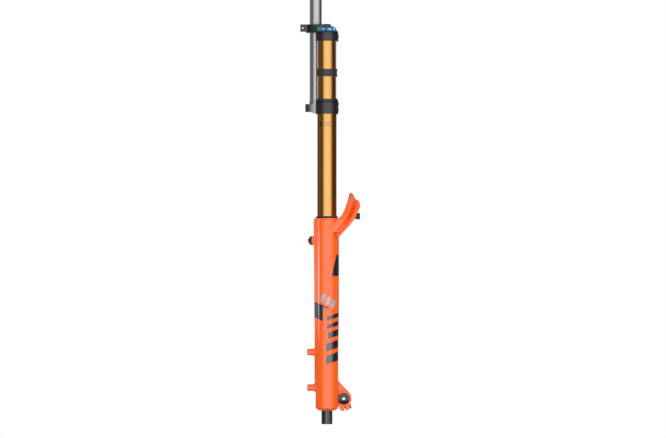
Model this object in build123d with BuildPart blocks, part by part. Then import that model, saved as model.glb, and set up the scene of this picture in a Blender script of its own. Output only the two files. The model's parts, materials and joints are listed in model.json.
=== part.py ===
"""Dual-crown suspension fork for a downhill bicycle.

Frame: +X forward, +Y to the rider's left, +Z up along the steerer.
Origin: on the steerer axis, in the plane of the crown race seat.
All sizes are in millimetres.
"""

import os

from build123d import *

# ---- driving dimensions ------------------------------------------------------------

TRAVEL = 203.0
LEG_X = 23.0  # crown offset, steerer axis to stanchion axis
LEG_Y = 92.0  # half the distance between the stanchions
AXLE_X = 58.0  # rake, steerer axis to axle
AXLE_Z = -612.6
HUB_HALF = 55.0  # half of the hub width between the dropouts
AXLE_R = 10.0

STEERER_R = 14.3
STEERER_BORE = 11.6
STEERER_TOP = 224.0
RACE_R = 15.0
PRESS_R = 15.2  # steerer end pressed into the lower crown
RACE_TOP = 6.0

UPPER_LOW, UPPER_HIGH = 148.4, 166.0
UPPER_CLAMP_LOW, UPPER_CLAMP_HIGH = 130.8, 152.5
LOWER_LOW, LOWER_HIGH = -16.3, 0.0
LOWER_CLAMP_LOW, LOWER_CLAMP_HIGH = -20.7, 10.8
CLAMP_R = 23.5
LOWER_BOSS_R = 22.1
UPPER_BOSS_R = 20.8
PINCH_OFFSET = 25.2  # stanchion axis to pinch bolt axis, towards the middle of the fork
UPPER_PINCH_Z = (140.4,)
LOWER_PINCH_Z = (-0.4, -11.6)
STEERER_BOLT_X, STEERER_BOLT_Z = -27.4, 158.1

STANCHION_R = 20.0
STANCHION_BORE = 17.5
STANCHION_TOP = 150.5
STANCHION_LOW = -400.0

LEG_TOP = -237.3
LEG_LOW = -632.3
LEG_TIP = -637.1
LEG_R_TOP = 25.0
LEG_R_LOW = 23.6
TAPER_HIGH, TAPER_LOW = -425.0, -520.0  # where the leg narrows
LEG_BORE = 21.6
LEG_FLOOR = -621.0
COLLAR_R = 26.3
COLLAR_LOW = -257.5
WIPER_SEAT_R = 24.0
WIPER_SEAT_LOW = -251.0
ARCH_TOP = -184.7

GUIDE_X, GUIDE_Y, GUIDE_Z = 82.8, 44.0, -233.3  # hose guide seat on the arch
PINCH_PLANE = Plane(origin=(60.0, -75.0, -630.4), z_dir=(1, 0, 0.16))
CLAMP_REAR = [(48.6, -622.0), (48.4, -629.0), (49.2, -634.0), (52.0, -637.4)]
CLAMP_REAR += [(56.0, -638.2), (60.2, -637.8), (60.4, -622.0)]
CLAMP_FRONT = [(60.4, -622.0), (60.2, -637.4), (66.8, -636.4), (70.2, -633.4)]
CLAMP_FRONT += [(71.6, -628.0), (71.4, -618.0)]
CLAMP_SLIT = [(60.0, -645.0), (63.6, -606.0), (61.6, -606.0), (58.0, -645.0)]
POST_Z = (-516.9, -591.1)
POST_X = -41.3  # caliper face, from the leg axis
POST_Y = 76.0
BLEED_Z = -284.1

SHAFT_R = 5.0
CARTRIDGE_R = 14.5
CARTRIDGE_BORE = 13.5
SLIDE_GAP = 0.05  # radial clearance of every running fit

RIGHT = (LEG_X, -LEG_Y)
LEFT = (LEG_X, LEG_Y)
STEM = (0.0, 0.0)
UPWARD = (Align.CENTER, Align.CENTER, Align.MIN)

os.makedirs("parts", exist_ok=True)


# ---- helpers -----------------------------------------------------------------------


def save(builder, node):
    """Writes one sub-part under its node name."""
    builder.part.label = node
    export_step(builder.part, f"parts/{node}.step")


def barrel(at, low, high, radius, bore=0.0):
    """Adds an upright cylinder, bored out over its own height."""
    with Locations((at[0], at[1], low)):
        Cylinder(radius, high - low, align=UPWARD)
        if bore:
            Cylinder(bore, high - low, align=UPWARD, mode=Mode.SUBTRACT)


def cone(at, low, high, r_low, r_high):
    """Adds an upright cone frustum."""
    with Locations((at[0], at[1], low)):
        Cone(r_low, r_high, high - low, align=UPWARD)


def bore(at, low, high, radius):
    """Cuts an upright hole."""
    with Locations((at[0], at[1], low)):
        Cylinder(radius, high - low, align=UPWARD, mode=Mode.SUBTRACT)


def fore_aft(x_low, x_high, y, z, radius, mode=Mode.ADD):
    """A cylinder that runs along X."""
    with Locations(((x_low + x_high) / 2, y, z)):
        Cylinder(radius, x_high - x_low, rotation=(0, 90, 0), mode=mode)


def crosswise(x, y_low, y_high, z, radius, mode=Mode.ADD):
    """A cylinder that runs along Y."""
    with Locations((x, (y_low + y_high) / 2, z)):
        Cylinder(radius, y_high - y_low, rotation=(90, 0, 0), mode=mode)


def hexagon(at, low, high, flats, mode=Mode.ADD):
    """An upright hexagonal prism."""
    with BuildSketch(Plane.XY.offset(low)) as outline:
        with Locations(at):
            RegularPolygon(flats / 2, 6, major_radius=False)
    extrude(outline.sketch, amount=high - low, mode=mode)


def side_plate(points, y_low, y_high, mode=Mode.ADD):
    """Extrudes a closed (x, z) outline from y_low to y_high."""
    plane = Plane(origin=(0, y_low, 0), x_dir=(1, 0, 0), z_dir=(0, -1, 0))
    with BuildSketch(plane) as outline:
        with BuildLine():
            Polyline(*points, close=True)
        make_face()
    extrude(outline.sketch, amount=y_low - y_high, mode=mode)


def pinch_y(at):
    """Y of the pinch bolts, between a stanchion and the middle of the fork."""
    return at[1] - PINCH_OFFSET if at[1] > 0 else at[1] + PINCH_OFFSET


def pinch_lug(at, z):
    """Adds the rounded lug that carries one pinch bolt."""
    fore_aft(at[0] - 9.0, at[0] + 23.4, pinch_y(at), z, 4.9)
    with Locations((at[0] + 8.0, (pinch_y(at) + at[1]) / 2, z)):
        Box(30.0, PINCH_OFFSET, 9.0)


def pinch_hole(at, z):
    """Cuts the bolt hole and the pocket that sinks the bolt head."""
    fore_aft(at[0] - 6.0, at[0] + 26.0, pinch_y(at), z, 2.55, Mode.SUBTRACT)
    fore_aft(at[0] + 20.0, at[0] + 26.0, pinch_y(at), z, 4.3, Mode.SUBTRACT)


def pinch_slit(at, low, high):
    """Splits a clamp from its bore out through the pinch lugs."""
    middle = (pinch_y(at) + at[1]) / 2
    reach = 4.0 if at[1] < 0 else -4.0
    with Locations((at[0] + 10.0, middle + reach, (low + high) / 2)):
        Box(1.8, PINCH_OFFSET + 12.0, high - low + 2, mode=Mode.SUBTRACT)


def pinch_bolt(at, z):
    """Adds a socket head pinch bolt."""
    fore_aft(at[0] - 5.5, at[0] + 20.1, pinch_y(at), z, 2.45)
    fore_aft(at[0] + 20.1, at[0] + 23.4, pinch_y(at), z, 4.15)
    with Locations(Plane(origin=(at[0] + 23.4, pinch_y(at), z), z_dir=(1, 0, 0))):
        Cone(4.15, 3.0, 1.2, align=UPWARD)
    with BuildSketch(Plane(origin=(at[0] + 22.0, pinch_y(at), z), z_dir=(1, 0, 0))) as socket:
        RegularPolygon(2.0, 6, major_radius=False)
    extrude(socket.sketch, amount=3.0, mode=Mode.SUBTRACT)


def crown_arms(plan, front, half_width):
    """Intersects a plan outline with a front-view outline to make a crown body."""
    with BuildSketch(Plane.XY.offset(-300)) as top:
        with BuildLine():
            Polyline(*plan, close=True)
        make_face()
        fillet(top.vertices(), 6)
    extrude(top.sketch, amount=900)
    with BuildSketch(Plane(origin=(-60, 0, 0), x_dir=(0, 1, 0), z_dir=(1, 0, 0))) as face:
        with BuildLine():
            Polyline(*front, close=True)
        make_face()
    extrude(face.sketch, amount=half_width, mode=Mode.INTERSECT)


def coil(at, low, high, radius, wire, turns):
    """Adds a coil spring."""
    with BuildLine() as path:
        Helix((high - low) / turns, high - low, radius, center=(at[0], at[1], low))
    with BuildSketch(Plane(origin=path.line @ 0, z_dir=path.line % 0)) as section:
        Circle(wire)
    sweep(section.sketch, path=path.line)


# ---- steerer and crowns ------------------------------------------------------------

with BuildPart() as steerer_tube:
    barrel(STEM, LOWER_LOW, STEERER_TOP, STEERER_R)
    barrel(STEM, LOWER_LOW, LOWER_HIGH, PRESS_R)
    barrel(STEM, LOWER_HIGH, RACE_TOP, RACE_R)
    cone(STEM, RACE_TOP, RACE_TOP + 1.2, RACE_R, STEERER_R)
    bore(STEM, LOWER_LOW, STEERER_TOP, STEERER_BORE)
    with Locations((0, 0, UPPER_HIGH + 1.5)):
        Cylinder(STEERER_R + 1, 0.6, mode=Mode.SUBTRACT)
        Cylinder(STEERER_R - 0.25, 0.6)
        Cylinder(STEERER_BORE, 0.6, mode=Mode.SUBTRACT)
    chamfer(steerer_tube.edges().group_by(Axis.Z)[-1], 0.5)
save(steerer_tube, "steerer_tube")

LOWER_PLAN = [
    (-20, -14), (-10, -50), (2, -78), (23, -92), (30, -80), (27, -44), (23, -14),
    (23, 14), (27, 44), (30, 80), (23, 92), (2, 78), (-10, 50), (-20, 14),
]
LOWER_FRONT = [
    (-92, -20.7), (-78, -20.7), (-46, -16.3), (46, -16.3), (78, -20.7), (92, -20.7),
    (92, 2), (70, 2), (60, -1), (22, -1), (22, 0), (-22, 0), (-22, -1), (-60, -1),
    (-70, 2), (-92, 2),
]

with BuildPart() as lower_crown:
    crown_arms(LOWER_PLAN, LOWER_FRONT, 130)
    barrel(STEM, LOWER_LOW, LOWER_HIGH, LOWER_BOSS_R)
    for at in (RIGHT, LEFT):
        barrel(at, LOWER_CLAMP_LOW, 4.0, CLAMP_R)
        cone(at, 4.0, LOWER_CLAMP_HIGH, CLAMP_R, CLAMP_R - 1.4)
        with Locations((at[0], at[1], LOWER_CLAMP_HIGH - 3.2)):
            Torus(CLAMP_R - 0.3, 0.8, mode=Mode.SUBTRACT)
        for z in LOWER_PINCH_Z:
            pinch_lug(at, z)
    for side in (-1, 1):
        with BuildSketch(Plane.XY.offset(LOWER_HIGH)) as pocket:
            with BuildLine():
                Polyline(
                    (-9, side * 28), (0, side * 58), (18, side * 58), (14, side * 28), close=True
                )
            make_face()
            fillet(pocket.vertices(), 4)
        extrude(pocket.sketch, amount=-7, mode=Mode.SUBTRACT)
    bore(STEM, LOWER_LOW - 1, LOWER_HIGH + 1, PRESS_R)
    for at in (RIGHT, LEFT):
        bore(at, LOWER_CLAMP_LOW - 1, LOWER_CLAMP_HIGH + 1, STANCHION_R)
        pinch_slit(at, LOWER_CLAMP_LOW, LOWER_CLAMP_HIGH)
        for z in LOWER_PINCH_Z:
            pinch_hole(at, z)
save(lower_crown, "lower_crown")

UPPER_PLAN = [
    (-18, -16), (-9, -37), (-1, -54), (3, -78), (23, -92), (30, -78), (31, -36), (31, 36),
    (30, 78), (23, 92), (3, 78), (-1, 54), (-9, 37), (-18, 16),
]
UPPER_FRONT = [
    (-92, 131.2), (-77, 131.2), (-56, 148.4), (56, 148.4), (77, 131.2), (92, 131.2),
    (92, 150.5), (72, 151.5), (37, 166), (-37, 166), (-72, 151.5), (-92, 150.5),
]
STEM_BOLT_X, STEM_BOLT_Y = (-1.4, 24.0), 25.4

with BuildPart() as upper_crown:
    crown_arms(UPPER_PLAN, UPPER_FRONT, 130)
    barrel(STEM, UPPER_LOW, UPPER_HIGH, UPPER_BOSS_R)
    with Locations((-23.2, 0, (150.8 + 166) / 2)):
        Box(18.6, 26.0, 15.2)
    for at in (RIGHT, LEFT):
        barrel(at, UPPER_CLAMP_LOW, UPPER_CLAMP_HIGH - 2.9, CLAMP_R)
        cone(at, UPPER_CLAMP_HIGH - 2.9, UPPER_CLAMP_HIGH, CLAMP_R, CLAMP_R - 2.7)
        for z in UPPER_PINCH_Z:
            pinch_lug(at, z)
    for side in (-1, 1):
        with BuildSketch(Plane.XY.offset(UPPER_HIGH)) as pocket:
            with BuildLine():
                Polyline(
                    (-1, side * 41), (3, side * 58), (22, side * 58), (22, side * 41), close=True
                )
            make_face()
            fillet(pocket.vertices(), 3)
        extrude(pocket.sketch, amount=-17, mode=Mode.SUBTRACT)
        for x in STEM_BOLT_X:
            bore((x, side * STEM_BOLT_Y), UPPER_LOW - 1, UPPER_HIGH + 1, 2.5)
    with Locations((24.0, 0, UPPER_HIGH)):
        Box(8.0, 34.0, 14.0, mode=Mode.SUBTRACT)
    bore(STEM, UPPER_LOW - 1, UPPER_HIGH + 1, STEERER_R)
    with Locations((-26.0, 0, 158)):
        Box(28.0, 1.8, 22.0, mode=Mode.SUBTRACT)
    crosswise(STEERER_BOLT_X, -20, 20, STEERER_BOLT_Z, 2.6, Mode.SUBTRACT)
    crosswise(STEERER_BOLT_X, -20, -9.0, STEERER_BOLT_Z, 4.4, Mode.SUBTRACT)
    for at in (RIGHT, LEFT):
        bore(at, UPPER_CLAMP_LOW - 1, UPPER_CLAMP_HIGH + 1, STANCHION_R)
        pinch_slit(at, UPPER_CLAMP_LOW, UPPER_CLAMP_HIGH)
        for z in UPPER_PINCH_Z:
            pinch_hole(at, z)
save(upper_crown, "upper_crown")

with BuildPart() as lower_crown_bolts:
    for at in (RIGHT, LEFT):
        for z in LOWER_PINCH_Z:
            pinch_bolt(at, z)
save(lower_crown_bolts, "lower_crown_bolts")

with BuildPart() as upper_crown_bolts:
    for at in (RIGHT, LEFT):
        for z in UPPER_PINCH_Z:
            pinch_bolt(at, z)
save(upper_crown_bolts, "upper_crown_bolts")

with BuildPart() as steerer_clamp_bolt:
    crosswise(STEERER_BOLT_X, -9.1, 11.5, STEERER_BOLT_Z, 2.45)
    crosswise(STEERER_BOLT_X, -14.4, -9.1, STEERER_BOLT_Z, 4.2)
    crosswise(STEERER_BOLT_X, -15.0, -11.8, STEERER_BOLT_Z, 2.1, Mode.SUBTRACT)
save(steerer_clamp_bolt, "steerer_clamp_bolt")

# ---- stanchions and what is clipped round them --------------------------------------

for at, node in ((RIGHT, "stanchion_right"), (LEFT, "stanchion_left")):
    with BuildPart() as stanchion:
        barrel(at, STANCHION_LOW, STANCHION_TOP, STANCHION_R, STANCHION_BORE)
        chamfer(stanchion.edges().group_by(Axis.Z)[0].sort_by(SortBy.LENGTH)[-1], 1.2)
    save(stanchion, node)

for at, node in ((RIGHT, "frame_bumper_right"), (LEFT, "frame_bumper_left")):
    with BuildPart() as frame_bumper:
        barrel(at, 57.0, 72.8, 20.9)
        barrel(at, 57.0, 60.4, 21.8)
        barrel(at, 69.4, 72.8, 21.8)
        fillet(frame_bumper.edges().filter_by(GeomType.CIRCLE), 0.4)
        bore(at, 56.0, 74.0, STANCHION_R)
    save(frame_bumper, node)

# ---- damper leg, fixed side -----------------------------------------------------------

with BuildPart() as damper_top_cap:
    barrel(RIGHT, 122.0, STANCHION_TOP, STANCHION_BORE)
    barrel(RIGHT, STANCHION_TOP, 152.4, 19.6)
    barrel(RIGHT, 152.4, 160.4, 6.0)
    barrel(RIGHT, 160.4, 164.6, 2.2)
    bore(RIGHT, 121.0, 136.0, CARTRIDGE_R)
    barrel(RIGHT, 121.9, 136.0, 4.0)
save(damper_top_cap, "damper_top_cap")

with BuildPart() as high_speed_compression_dial:
    barrel(RIGHT, 152.6, 157.8, 19.5)
    cone(RIGHT, 157.8, 161.3, 18.4, 11.4)
    for index in range(12):
        spot = Vector(22.6, 0, 0).rotate(Axis.Z, 30 * index + 15)
        with Locations((RIGHT[0] + spot.X, RIGHT[1] + spot.Y, 155.0)):
            Cylinder(4.2, 12.0, mode=Mode.SUBTRACT)
    bore(RIGHT, 152.0, 160.7, 6.0 + SLIDE_GAP)
    bore(RIGHT, 160.0, 162.0, 2.2 + SLIDE_GAP)
save(high_speed_compression_dial, "high_speed_compression_dial")

with BuildPart() as low_speed_compression_dial:
    barrel(RIGHT, 161.5, 163.4, 8.6)
    cone(RIGHT, 163.4, 166.0, 8.0, 4.2)
    with Locations((RIGHT[0], RIGHT[1], 164.7)):
        Box(12.4, 3.0, 2.6)
    bore(RIGHT, 161.0, 164.8, 2.2 + SLIDE_GAP)
save(low_speed_compression_dial, "low_speed_compression_dial")

with BuildPart() as damper_cartridge_tube:
    barrel(RIGHT, -392.0, 136.0, CARTRIDGE_R, CARTRIDGE_BORE)
save(damper_cartridge_tube, "damper_cartridge_tube")

with BuildPart() as compression_valve:
    barrel(RIGHT, 8.0, 121.9, 4.0)
    barrel(RIGHT, 14.0, 30.0, CARTRIDGE_BORE - SLIDE_GAP)
    with Locations((RIGHT[0], RIGHT[1], 22.0)):
        Torus(CARTRIDGE_BORE, 1.1, mode=Mode.SUBTRACT)
    for index in range(6):
        spot = Vector(8.6, 0, 0).rotate(Axis.Z, 60 * index)
        bore((RIGHT[0] + spot.X, RIGHT[1] + spot.Y), 13.0, 31.0, 1.8)
save(compression_valve, "compression_valve")

with BuildPart() as floating_piston:
    barrel(RIGHT, 46.0, 60.0, CARTRIDGE_BORE - SLIDE_GAP, 4.0 + SLIDE_GAP)
    with Locations((RIGHT[0], RIGHT[1], 53.0)):
        Torus(CARTRIDGE_BORE, 1.1, mode=Mode.SUBTRACT)
save(floating_piston, "floating_piston")

with BuildPart() as floating_piston_spring:
    coil(RIGHT, 61.2, 134.8, 9.5, 1.0, 9)
save(floating_piston_spring, "floating_piston_spring")

with BuildPart() as damper_seal_head:
    barrel(RIGHT, -404.0, STANCHION_LOW, 19.0)
    barrel(RIGHT, STANCHION_LOW, -392.0, STANCHION_BORE)
    barrel(RIGHT, -392.0, -376.0, CARTRIDGE_BORE)
    bore(RIGHT, -405.0, -375.0, SHAFT_R + SLIDE_GAP)
save(damper_seal_head, "damper_seal_head")

# ---- air leg, fixed side ---------------------------------------------------------------

with BuildPart() as air_top_cap:
    barrel(LEFT, 128.0, STANCHION_TOP, STANCHION_BORE)
    barrel(LEFT, STANCHION_TOP, 152.4, 19.4)
    cone(LEFT, 152.4, 153.8, 19.4, 18.0)
    hexagon(LEFT, 153.8, 156.4, 26.0)
    barrel(LEFT, 120.0, 128.0, 9.0)
    bore(LEFT, 119.0, 157.0, 4.4)
save(air_top_cap, "air_top_cap")

with BuildPart() as air_valve:
    barrel(LEFT, 124.0, 156.8, 4.4)
    barrel(LEFT, 156.8, 163.2, 3.85)
    bore(LEFT, 123.0, 164.0, 2.6)
    barrel(LEFT, 138.0, 158.4, 2.6)
    barrel(LEFT, 158.4, 162.6, 1.0)
save(air_valve, "air_valve")

with BuildPart() as air_valve_cap:
    barrel(LEFT, 157.0, 164.6, 7.4)
    cone(LEFT, 164.6, 165.8, 7.4, 6.4)
    for index in range(16):
        spot = Vector(7.8, 0, 0).rotate(Axis.Z, 22.5 * index)
        with Locations((LEFT[0] + spot.X, LEFT[1] + spot.Y, 161.0)):
            Cylinder(0.8, 20.0, mode=Mode.SUBTRACT)
    bore(LEFT, 156.0, 163.6, 3.85 + SLIDE_GAP)
save(air_valve_cap, "air_valve_cap")

with BuildPart() as volume_spacers:
    for low in (74.4, 97.2):
        barrel(LEFT, low, low + 22.6, 15.6, 5.0)
        barrel(LEFT, low + 20.0, low + 22.6, 9.0)
        bore(LEFT, low + 19.0, low + 23.0, 5.0)
save(volume_spacers, "volume_spacers")

with BuildPart() as air_seal_head:
    barrel(LEFT, -404.0, STANCHION_LOW, 19.0)
    barrel(LEFT, STANCHION_LOW, -380.0, STANCHION_BORE)
    bore(LEFT, -405.0, -379.0, SHAFT_R + SLIDE_GAP)
save(air_seal_head, "air_seal_head")

with BuildPart() as top_out_bumper:
    barrel(LEFT, -380.0, -368.0, 11.0, SHAFT_R + 0.4)
    fillet(top_out_bumper.edges().group_by(Axis.Z)[-1].sort_by(SortBy.LENGTH)[-1], 1.5)
save(top_out_bumper, "top_out_bumper")

# ---- lower legs -------------------------------------------------------------------------

ARCH_SIDE_REAR = [(24.4, -237.0), (28.2, -234.0), (31.6, -229.6), (35.3, -222.8)]
ARCH_SIDE_REAR += [(39.2, -213.0), (42.0, -204.3), (44.9, -193.9), (46.6, -186.4)]
ARCH_SIDE_FRONT = [(48.2, -184.7), (51.4, -184.7), (54.0, -187.0), (57.4, -194.6)]
ARCH_SIDE_FRONT += [(60.6, -199.0), (64.4, -199.8), (67.2, -203.2), (69.4, -211.2)]
ARCH_SIDE_FRONT += [(67.6, -217.4), (63.4, -226.3), (58.8, -238.0), (54.0, -244.4)]
ARCH_SIDE_FRONT += [(48.4, -251.4), (42.8, -257.6), (35.4, -265.8), (28.6, -273.0)]
ARCH_ROOT = [(23.6, -278.6), (21.5, -277.0), (21.0, -266.0), (14.0, -266.6)]
ARCH_ROOT += [(6.0, -268.0), (0.0, -262.0)]
CHANNEL_REAR = [(22.5, -262.0), (31.3, -249.8), (39.7, -239.2), (45.5, -229.5)]
CHANNEL_REAR += [(52.0, -214.0), (56.4, -197.0), (57.5, -190.0)]
CHANNEL_FRONT = [(61.5, -190.0), (61.0, -203.0), (57.6, -217.0), (52.0, -231.0)]
CHANNEL_FRONT += [(46.5, -243.6), (41.0, -252.4), (33.0, -262.0), (23.7, -271.8)]


def arch_front_view(drop):
    """Outer (y, z) outline of the arch, lowered and drawn in by drop."""
    with BuildSketch(Plane(origin=(0, 0, 0), x_dir=(0, 1, 0), z_dir=(1, 0, 0))) as view:
        with BuildLine():
            edge = Spline(
                (-115 + drop, -292),
                (-113.5 + drop, -256),
                (-96 + drop, -218 - drop),
                (-54, -193.5 - drop),
                (0, ARCH_TOP - drop),
                (54, -193.5 - drop),
                (96 - drop, -218 - drop),
                (113.5 - drop, -256),
                (115 - drop, -292),
            )
            Line(edge @ 1, edge @ 0)
        make_face()
    return view.sketch


def tyre_window():
    """(y, z) outline of the opening under the arch."""
    with BuildSketch(Plane(origin=(0, 0, 0), x_dir=(0, 1, 0), z_dir=(1, 0, 0))) as view:
        with BuildLine():
            edge = Spline(
                (-72, -310), (-70, -272), (-60, -243), (-36, -225), (0, -219),
                (36, -225), (60, -243), (70, -272), (72, -310),
            )
            Line(edge @ 1, edge @ 0)
        make_face()
    return view.sketch


with BuildPart() as arch:
    shape = [(0.0, -237.0)] + ARCH_SIDE_REAR + ARCH_SIDE_FRONT + ARCH_ROOT
    shape = [(LEG_X + x, z) for x, z in shape]
    side_plate(shape, -118, 118)
    extrude(arch_front_view(0.0), amount=120, mode=Mode.INTERSECT)
    extrude(tyre_window(), amount=120, mode=Mode.SUBTRACT)

with BuildPart() as arch_channel:
    side_plate([(LEG_X + x, z) for x, z in CHANNEL_REAR + CHANNEL_FRONT], -118, 118)
    extrude(arch_front_view(8.5), amount=120, mode=Mode.SUBTRACT)

with BuildPart() as collar_brow:
    barrel((0.0, 0.0), -242.5, LEG_TOP, COLLAR_R + 1.0)
    with Locations((12.0, 0, -240)):
        Box(36.0, 60.0, 8.0, mode=Mode.INTERSECT)


REAR_CHANNEL = (  # height, rear face from the leg axis, half width, corner radius
    (-239.4, 26.6, 6.4, 4.6),
    (-241.4, 27.6, 7.0, 5.0),
    (-480.0, 25.7, 6.6, 5.0),
    (-530.0, 25.4, 3.0, 4.0),
    (-565.0, 24.4, 1.0, 3.0),
    (-580.0, 22.0, 1.0, 3.0),
)


def leg_body(at):
    """Adds one leg's outside: collar, tapered tube, foot cone and cast rear channel."""
    barrel(at, COLLAR_LOW, LEG_TOP - 0.6, COLLAR_R)
    cone(at, LEG_TOP - 0.6, LEG_TOP, COLLAR_R, COLLAR_R - 0.6)
    cone(at, COLLAR_LOW - 2.0, COLLAR_LOW, LEG_R_TOP, COLLAR_R)
    barrel(at, TAPER_HIGH, COLLAR_LOW - 2.0, LEG_R_TOP)
    cone(at, TAPER_LOW, TAPER_HIGH, LEG_R_LOW, LEG_R_TOP)
    barrel(at, LEG_LOW, TAPER_LOW, LEG_R_LOW)
    cone(at, LEG_TIP, LEG_LOW, 16.0, LEG_R_LOW)
    sections = []
    for z, reach, half_width, radius in REAR_CHANNEL:
        with BuildSketch(Plane(origin=(at[0] - reach + radius, at[1], z))) as section:
            SlotCenterToCenter(2 * half_width, 2 * radius, rotation=90)
        sections.append(section.sketch)
    loft(sections, ruled=True)


def bleed_boss(at):
    """Adds the boss behind the leg that holds a bleeder valve."""
    with Locations(Plane(origin=(at[0] - 31.8, at[1], BLEED_Z), z_dir=(1, 0, 0))):
        Cone(8.8, 10.8, 12.0, align=UPWARD)


def leg_hollow(at):
    """Cuts one leg's bores."""
    bore(at, WIPER_SEAT_LOW, LEG_TOP + 1, WIPER_SEAT_R)
    bore(at, LEG_FLOOR + 8, WIPER_SEAT_LOW, LEG_BORE)
    with Locations((at[0], at[1], LEG_FLOOR)):
        Cone(14.0, LEG_BORE, 8.0, align=UPWARD, mode=Mode.SUBTRACT)
    bore(at, LEG_TIP - 1, LEG_FLOOR, SHAFT_R + 0.3)
    fore_aft(at[0] - 34.0, at[0] - 18.0, at[1], BLEED_Z, 5.0, Mode.SUBTRACT)


WEB = [(12.0, -557.4), (21.6, -572.6), (24.8, -577.8), (29.0, -582.6), (36.4, -590.8)]
WEB += [(43.0, -597.6), (46.6, -603.0), (40.0, -620.0), (30.0, -627.0), (24.0, -626.6)]
WEB += [(10.0, -632.0)]


def dropout(side):
    """Adds the boss that carries the axle, joined forward from the leg's inner side."""
    inner, outer = side * HUB_HALF, side * 90.0
    low, high = min(inner, outer), max(inner, outer)
    crosswise(AXLE_X, low, high, AXLE_Z, 16.1)
    side_plate([(LEG_X + x, z) for x, z in WEB], low + 3 * (side < 0), high - 3 * (side > 0))


with BuildPart() as lower_leg_casting:
    for at in (RIGHT, LEFT):
        leg_body(at)
        bleed_boss(at)
        with Locations((at[0], at[1], 0)):
            add(collar_brow.part)
    add(arch.part)
    add(arch_channel.part, mode=Mode.SUBTRACT)
    for side in (-1, 1):
        dropout(side)
    # split clamp below the right dropout
    side_plate(CLAMP_REAR, -88.0, -62.0)
    side_plate(CLAMP_FRONT, -88.0, -62.0)
    # caliper posts behind the left leg
    for z in POST_Z:
        fore_aft(LEG_X + POST_X, LEG_X - 8.0, POST_Y, z, 7.0)
        with Locations(Plane(origin=(LEG_X - 31.0, POST_Y + 2, z), z_dir=(1, 0, 0))):
            Cone(7.0, 11.0, 16.0, align=UPWARD)
    with Locations((LEG_X - 22.0, POST_Y + 4, (POST_Z[0] + POST_Z[1]) / 2)):
        Box(8.0, 7.0, 76.0)
    # screw boss for the hose guide on the front of the arch
    fore_aft(LEG_X + 50.0, GUIDE_X, GUIDE_Y, GUIDE_Z, 6.2)
    for at in (RIGHT, LEFT):
        leg_hollow(at)
    crosswise(AXLE_X, -95, -54, AXLE_Z, AXLE_R + SLIDE_GAP, Mode.SUBTRACT)
    crosswise(AXLE_X, -92, -86, AXLE_Z, 11.5, Mode.SUBTRACT)
    crosswise(AXLE_X, 54, 92, AXLE_Z, 12.0, Mode.SUBTRACT)
    side_plate(CLAMP_SLIT, -92, -50, Mode.SUBTRACT)
    with Locations(PINCH_PLANE):
        Cylinder(2.6, 40.0, mode=Mode.SUBTRACT)
        with Locations((0, 0, 9.3)):
            Cylinder(4.5, 12.0, align=UPWARD, mode=Mode.SUBTRACT)
        with Locations((0, 0, -16.0)):
            Cylinder(3.8, 5.6, align=UPWARD, mode=Mode.SUBTRACT)
    with Locations((GUIDE_X + 5.0, GUIDE_Y + 6.0, GUIDE_Z)):
        Box(10.0, 26.0, 13.8, mode=Mode.SUBTRACT)
    for z in POST_Z:
        fore_aft(LEG_X + POST_X - 1, LEG_X + POST_X + 17.0, POST_Y, z, 2.5, Mode.SUBTRACT)
    fore_aft(LEG_X + 50.5, GUIDE_X + 1, GUIDE_Y, GUIDE_Z, 2.1, Mode.SUBTRACT)
save(lower_leg_casting, "lower_leg_casting")

# ---- what sits inside and on the lower legs --------------------------------------------

for at, side in ((RIGHT, "right"), (LEFT, "left")):
    with BuildPart() as wiper_seal:
        barrel(at, -247.0, LEG_TOP, WIPER_SEAT_R)
        barrel(at, LEG_TOP, -233.7, 22.6)
        cone(at, -233.7, -232.5, 22.6, 21.0)
        bore(at, -248.0, -232.0, STANCHION_R + SLIDE_GAP)
    save(wiper_seal, f"wiper_seal_{side}")

    with BuildPart() as foam_ring:
        barrel(at, -259.4, -251.6, LEG_BORE - 0.05, STANCHION_R + 0.1)
    save(foam_ring, f"foam_ring_{side}")

    with BuildPart() as upper_bushing:
        barrel(at, -278.0, -260.0, LEG_BORE, STANCHION_R + SLIDE_GAP)
    save(upper_bushing, f"upper_bushing_{side}")

    with BuildPart() as lower_bushing:
        barrel(at, -390.0, -366.0, LEG_BORE, STANCHION_R + SLIDE_GAP)
    save(lower_bushing, f"lower_bushing_{side}")

    with BuildPart() as bottom_out_bumper:
        barrel(at, -615.0, -608.0, 11.5, SHAFT_R + 0.3)
        fillet(bottom_out_bumper.edges().group_by(Axis.Z)[-1].sort_by(SortBy.LENGTH)[-1], 1.5)
    save(bottom_out_bumper, f"bottom_out_bumper_{side}")

    with BuildPart() as bleeder_body:
        fore_aft(at[0] - 31.8, at[0] - 22.4, at[1], BLEED_Z, 5.0)
        fore_aft(at[0] - 34.0, at[0] - 31.8, at[1], BLEED_Z, 9.4)
        with Locations(Plane(origin=(at[0] - 34.0, at[1], BLEED_Z), z_dir=(-1, 0, 0))):
            Cone(9.0, 6.0, 3.4, align=UPWARD)
        fore_aft(at[0] - 38.5, at[0] - 34.2, at[1], BLEED_Z, 4.0 + SLIDE_GAP, Mode.SUBTRACT)
        fore_aft(at[0] - 34.3, at[0] - 22.0, at[1], BLEED_Z, 1.2 + SLIDE_GAP, Mode.SUBTRACT)
    save(bleeder_body, f"bleeder_body_{side}")

    with BuildPart() as bleeder_button:
        fore_aft(at[0] - 39.4, at[0] - 36.0, at[1], BLEED_Z, 4.0)
        fore_aft(at[0] - 36.0, at[0] - 23.4, at[1], BLEED_Z, 1.2)
        fillet(bleeder_button.edges().group_by(Axis.X)[0], 1.4)
    save(bleeder_button, f"bleeder_button_{side}")

with BuildPart() as damper_shaft:
    barrel(RIGHT, -650.0, -344.0, SHAFT_R)
    barrel(RIGHT, LEG_FLOOR, -615.0, 12.0)
    barrel(RIGHT, -661.5, -650.0, 2.0)
save(damper_shaft, "damper_shaft")

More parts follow.
